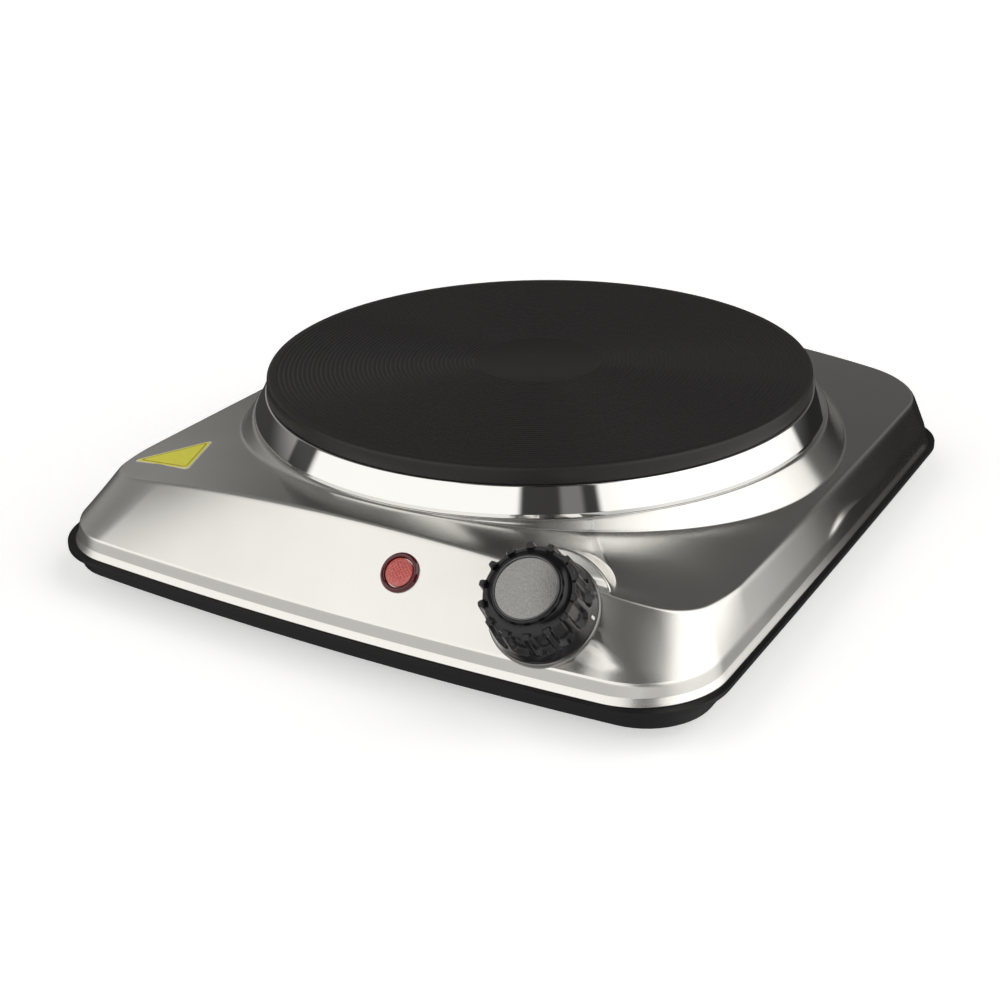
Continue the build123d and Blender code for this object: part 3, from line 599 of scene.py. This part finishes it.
def make_knob_trim(dark, silver, white, bright):
    """Ring and disc in the knob's face, a small white line on its skirt, and the thin plate behind the
    skirt.
    """
    outline = [(CAP_R, 16.3), (CAP_R, 17.0), (CAP_RING_R, CAP_TOP - 0.02), (CAP_RING_R, 16.3)]
    vertices, faces = lathe_loop(rounded(outline, 0.22, 4), 128, KNOB_PLANE)
    make_object("knob_cap_ring", vertices, faces, dark, "knob", ["knob_ring"], 50)
    dome = [(r, 16.94 - r**2 / 230) for r in np.linspace(1, 8.5, 12)]
    dome = [(0.05, 16.94)] + dome + [(8.86, 16.6), (8.86, 16.35)]
    vertices, faces = lathe(dome[::-1], 128, KNOB_PLANE)
    make_object("knob_disc", vertices, faces, silver, "knob", ["knob_cap"], 50)
    bezel = [(5.0, -0.6), (15.6, -0.6), (15.6, -2.9), (16.2, -2.9), (16.35, -0.2), (15.9, 0.1), (5.0, 0.1)]
    vertices, faces = lathe_loop(rounded(bezel, 0.25, 3), 160, KNOB_PLANE)
    make_object("bezel_ring", vertices, faces, bright, "base", ["knob_bezel"], 50)
    make_white_skirt_line(white)


def make_white_skirt_line(material):
    """Small raised white line on the skirt."""
    angle = np.radians([-1.6, 1.6])
    rows = []
    for z, lift in ((1.6, -0.05), (1.62, 0.07), (3.5, 0.07), (3.52, -0.05)):
        r = knob_envelope(z) + lift
        for a in angle:
            rows.append((r * cos(a), r * sin(a), z + lift * 0.3))
    faces = [(0, 1, 3, 2), (2, 3, 5, 4), (4, 5, 7, 6), (6, 7, 1, 0), (0, 2, 4, 6), (1, 7, 5, 3)]
    vertices = to_plane(np.array(rows), KNOB_PLANE)
    make_object("knob_white_line", vertices, faces, material, "knob")


# --- Pilot light ------------------------------------------------------------------------
def make_indicator(red, lens):
    """Clear red holder with a rolled flange, and a domed lens with small facets."""
    outside = [(5.4, -9.8), (5.4, -2.4), (6.2, -2.4), (6.15, 0.4), (5.5, 1.25)]
    inside = [(4.7, 1.0), (4.45, -0.2), (4.45, -9.8)]
    outer = rounded(outside + inside, 0.5, 5)
    vertices, faces = lathe_loop(outer, 96, LAMP_PLANE)
    make_object("lamp_holder", vertices, faces, red, "base", ["indicator_holder"], 60)
    around, steps = 72, 22
    angle = np.arange(around) * 2 * pi / around
    grid = []
    for i in range(steps + 1):
        r = 4.3 * i / steps + 0.02
        x, y = r * np.cos(angle), r * np.sin(angle)
        facet = 0.2 * np.cos(x * 2 * pi / 1.25) * np.cos((y + 0.3) * 2 * pi / 1.25)
        z = 1.25 - r**2 / 30 + facet * ease(-r, -4.2, -3.2)
        grid.append(np.stack([x, y, z], axis=-1))
    for r, z in ((4.36, -0.1), (4.36, -0.75), (0.02, -0.75)):
        grid.append(np.stack([r * np.cos(angle), r * np.sin(angle), z + 0 * angle], axis=-1))
    vertices = to_plane(np.concatenate(grid), LAMP_PLANE)
    faces = ring_faces(len(grid), around, closed_rows=True)
    make_object("lamp_lens", vertices, faces, lens, "base", ["indicator_lens"], sharp=60)


# --- Label ------------------------------------------------------------------------------
def triangle_outline(radius, corner, steps=10):
    """Rounded triangle about the label's centre."""
    corners = [radians(LABEL_TURN + 120 * i) for i in range(3)]
    points = []
    for a in corners:
        tip = np.array([cos(a), sin(a)]) * (radius - 2 * corner)
        for t in np.linspace(-pi / 3, pi / 3, steps):
            points.append(tip + corner * np.array([cos(a + t), sin(a + t)]))
    return np.array(points) + np.array(LABEL_CENTRE)


def on_crown(points, lift):
    """Places plan points on the arched top, lifted along its slope."""
    z = crown_height(points[:, 0]) + lift
    return np.column_stack([points, z])


def label_piece(name, material, outer, inner, high, replaces=()):
    """Thin sticker layer between two outlines on the arched top; inner None fills it."""
    count = len(outer)
    centre = np.mean(outer, axis=0)
    inside = centre + (outer - centre) * 0.02 if inner is None else inner
    rings = [on_crown(outer, 0.0), on_crown(outer, high)]
    for share in (0.25, 0.5, 0.75):
        rings.append(on_crown(outer + (inside - outer) * share, high))
    rings += [on_crown(inside, high), on_crown(inside, 0.0)]
    faces = ring_faces(len(rings), count, closed_rows=True)
    make_object(name, np.concatenate(rings), faces, material, "base", replaces, sharp=40)


def make_label(yellow, white, ochre):
    """Plain triangular sticker: white edge, yellow field and a darker keyline."""
    label_piece("label_film", white, triangle_outline(LABEL_R, 1.3), None, 0.10, ["surface_label"])
    label_piece("label_field", yellow, triangle_outline(LABEL_R - 1.0, 1.1), None, 0.13)
    line_outer, line_inner = triangle_outline(LABEL_R - 2.6, 0.9), triangle_outline(LABEL_R - 3.5, 0.7)
    label_piece("label_keyline", ochre, line_outer, line_inner, 0.15)


# --- Stage ------------------------------------------------------------------------------
FLOOR_HALF, WALL_R, WALL_TOP = 6000.0, 5800.0, 5000.0


def add_stage(name, vertices, faces, material):
    """Object that isn't part of the hot plate and that its metal doesn't reflect; points in metres."""
    mesh = bpy.data.meshes.new(name)
    mesh.from_pydata(vertices, [], faces)
    mesh.materials.append(material)
    piece = bpy.data.objects.new(name, mesh)
    scene.collection.objects.link(piece)
    piece.visible_glossy = False
    return piece


def make_floor():
    """Plain pale floor."""
    n = Nodes("floor_white")
    n.set(Base_Color=(0.86, 0.86, 0.86, 1), Roughness=0.9, Specular_IOR_Level=0.1, Emission_Strength=0.5,
          Emission_Color=(1, 1, 1, 1))
    half = FLOOR_HALF * MM
    corners = [(-half, -half, 0), (half, -half, 0), (half, half, 0), (-half, half, 0)]
    add_stage("floor", corners, [(0, 1, 2, 3)], n.material)


def make_backdrop():
    """White wall round the floor's edge. It only fills the view and leaves the light as it is."""
    n = Nodes("backdrop_white")
    n.set(Base_Color=(0, 0, 0, 1), Roughness=1.0, Specular_IOR_Level=0.0, Emission_Strength=1.0,
          Emission_Color=(1, 1, 1, 1))
    profile = rounded([(WALL_R - 800, 1.0), (WALL_R, 1.0), (WALL_R, WALL_TOP)], 700.0, 10)
    vertices, faces = lathe(profile, 96, cap_ends=False)
    wall = add_stage("backdrop", (vertices * MM).tolist(), faces, n.material)
    wall.visible_diffuse = False
    wall.visible_transmission = False
    wall.visible_shadow = False


class Sky:
    """Math nodes for a studio whose brightness depends on direction. Angles are in degrees."""

    def __init__(self, tree):
        self.tree = tree
        source = tree.nodes.new("ShaderNodeTexCoord")
        split = tree.nodes.new("ShaderNodeSeparateXYZ")
        tree.links.new(source.outputs["Generated"], split.inputs[0])
        self.axes = split.outputs
        x, y, z = self.axes
        self.azimuth = self.maths("ARCTAN2", x, self.maths("MULTIPLY", y, -1.0))
        self.rise = self.maths("ARCSINE", z)

    def maths(self, operation, a, b=None):
        node = self.tree.nodes.new("ShaderNodeMath")
        node.operation = operation
        for socket, value in zip(node.inputs, (a, b)):
            if isinstance(value, (int, float)):
                socket.default_value = value
            elif value is not None:
                self.tree.links.new(value, socket)
        return node.outputs[0]

    def ramp(self, value, low, high, out_low, out_high):
        node = self.tree.nodes.new("ShaderNodeMapRange")
        node.interpolation_type = "SMOOTHSTEP"
        keys = ("From Min", "From Max", "To Min", "To Max")
        for key, number in zip(keys, (low, high, out_low, out_high)):
            node.inputs[key].default_value = number
        self.tree.links.new(value, node.inputs["Value"])
        return node.outputs["Result"]

    def by_rise(self, low, high, out_low, out_high):
        """Changes with the height above the horizon."""
        return self.ramp(self.rise, radians(low), radians(high), out_low, out_high)

    def sector(self, centre, half, soft):
        """1 inside a range of azimuth, from the front towards the right."""
        off = self.maths("SUBTRACT", self.azimuth, radians(centre))
        wrapped = self.maths("WRAP", off, pi)
        wrapped.node.inputs[2].default_value = -pi
        away = self.maths("ABSOLUTE", wrapped)
        return self.ramp(away, radians(half - soft), radians(half + soft), 1.0, 0.0)

    def toward(self, direction, half, soft):
        """1 inside a cone about a direction."""
        x, y, z = (self.maths("MULTIPLY", a, float(d)) for a, d in zip(self.axes, unit(direction)))
        dot = self.maths("ADD", self.maths("ADD", x, y), z)
        return self.ramp(dot, cos(radians(half + soft)), cos(radians(half - soft)), 0.0, 1.0)

    def share(self, mask, amount):
        return self.maths("MULTIPLY", mask, amount)

    def dimmed(self, value, mask):
        """The value less what the mask takes."""
        return self.maths("MULTIPLY", value, self.maths("SUBTRACT", 1.0, mask))


def make_studio():
    """Soft studio light as a sky: a bright half round the front and right, a dim half behind."""
    world = bpy.data.worlds.new("studio")
    world.use_nodes = True
    scene.world = world
    tree = world.node_tree
    sky = Sky(tree)

    bright = sky.sector(39, 108, 2.0)
    side = sky.share(sky.sector(100, 34, 12.0), 0.35)
    front = sky.maths("MULTIPLY", bright, sky.maths("ADD", sky.by_rise(-6, 8, 0.66, 1.22), side))
    dim = sky.maths("SUBTRACT", sky.by_rise(-2, 12, 0.05, 0.38), sky.by_rise(14, 27, 0.0, 0.17))
    dim = sky.dimmed(dim, sky.share(sky.sector(185, 39, 5.0), 0.55))
    value = sky.maths("ADD", front, sky.dimmed(dim, bright))

    # A dark upright card in front with a lighter strip, a dark patch overhead, and a stripe at left.
    card = sky.maths("SUBTRACT", sky.share(sky.sector(37, 16, 1.5), 0.96),
                     sky.share(sky.sector(42, 4.5, 1.5), 0.14))
    value = sky.dimmed(value, sky.maths("MULTIPLY", card, sky.by_rise(-4, 0, 0.0, 1.0)))
    value = sky.dimmed(value, sky.share(sky.toward((0.163, -0.282, 0.945), 22.0, 1.2), 0.95))
    stripe = sky.maths("MULTIPLY", sky.sector(-76, 6, 1.0), sky.by_rise(20, 30, 1.0, 0.0))
    value = sky.dimmed(value, sky.share(stripe, 0.8))

    background = tree.nodes["Background"]
    tree.links.new(value, background.inputs["Strength"])
    background.inputs["Color"].default_value = (1.0, 0.99, 0.97, 1)


def dress_cad_nodes():
    """A procedural material for each CAD node, from its slot's colour and class."""
    metals = ("brushed_steel", "chrome", "aluminium", "brass")
    for slot_row in frame["record"]["materials"]:
        slot = slot_row["slot"]
        base = tuple(slot_row["base_color"][:3])
        rough, shine = (0.1 if slot_row["class"] == "chrome" else 0.4), 0.5
        if slot == "tray_black":
            base, rough, shine = (0.005, 0.005, 0.006), 0.45, 0.25
        metallic = 1.0 if slot_row["class"] in metals else 0.0
        made = plain("cad_" + slot, base, rough, metallic, Specular_IOR_Level=shine)
        for row in frame["record"]["subparts"]:
            if row["material_slot"] == slot:
                node = cad_nodes[row["node"]]
                node.data.materials.clear()
                node.data.materials.append(made)


# --- Run --------------------------------------------------------------------------------
make_camera()
make_floor()
make_backdrop()
make_studio()
scene.view_settings.view_transform = "Standard"
make_shell(brushed_shell_material())
make_plate(plain("plate_coating", (0.020, 0.0185, 0.0185), 0.4, grain=0.4, bump=0.004,
                 Specular_IOR_Level=0.3))
make_ring(plain("ring_mirror", (0.79, 0.79, 0.77), 0.045, 1.0, grain=40, vary=0.01))
make_knob(plain("knob_phenolic", (0.006, 0.0055, 0.007), 0.2, grain=0.25, vary=0.08, bump=0.001,
                Specular_IOR_Level=0.42))
make_knob_trim(
    plain("cap_ring_dark", (0.12, 0.12, 0.125), 0.2, 0.8, grain=0.6),
    plain("cap_disc_silver", (0.25, 0.25, 0.24), 0.16, 1.0, grain=0.42, vary=0.18, bump=0.035),
    plain("white_skirt_line", (0.85, 0.85, 0.85), 0.4),
    plain("bezel_dark", (0.22, 0.215, 0.205), 0.25, 1.0, grain=5, vary=0.03),
)
make_indicator(
    plain("holder_red", (0.085, 0.004, 0.007), 0.12, grain=3, Coat_Weight=0.3),
    plain("lens_pink", (0.60, 0.12, 0.105), 0.16, grain=0.5, vary=0.3, bump=0.02, Coat_Weight=0.3),
)
make_label(
    plain("label_yellow_film", (1.0, 0.92, 0.085), 0.4, grain=3, vary=0.04),
    plain("label_white_film", (0.82, 0.81, 0.72), 0.35, grain=3, vary=0.03),
    plain("label_ochre_ink", (0.42, 0.30, 0.03), 0.4, grain=3, vary=0.05),
)
dress_cad_nodes()
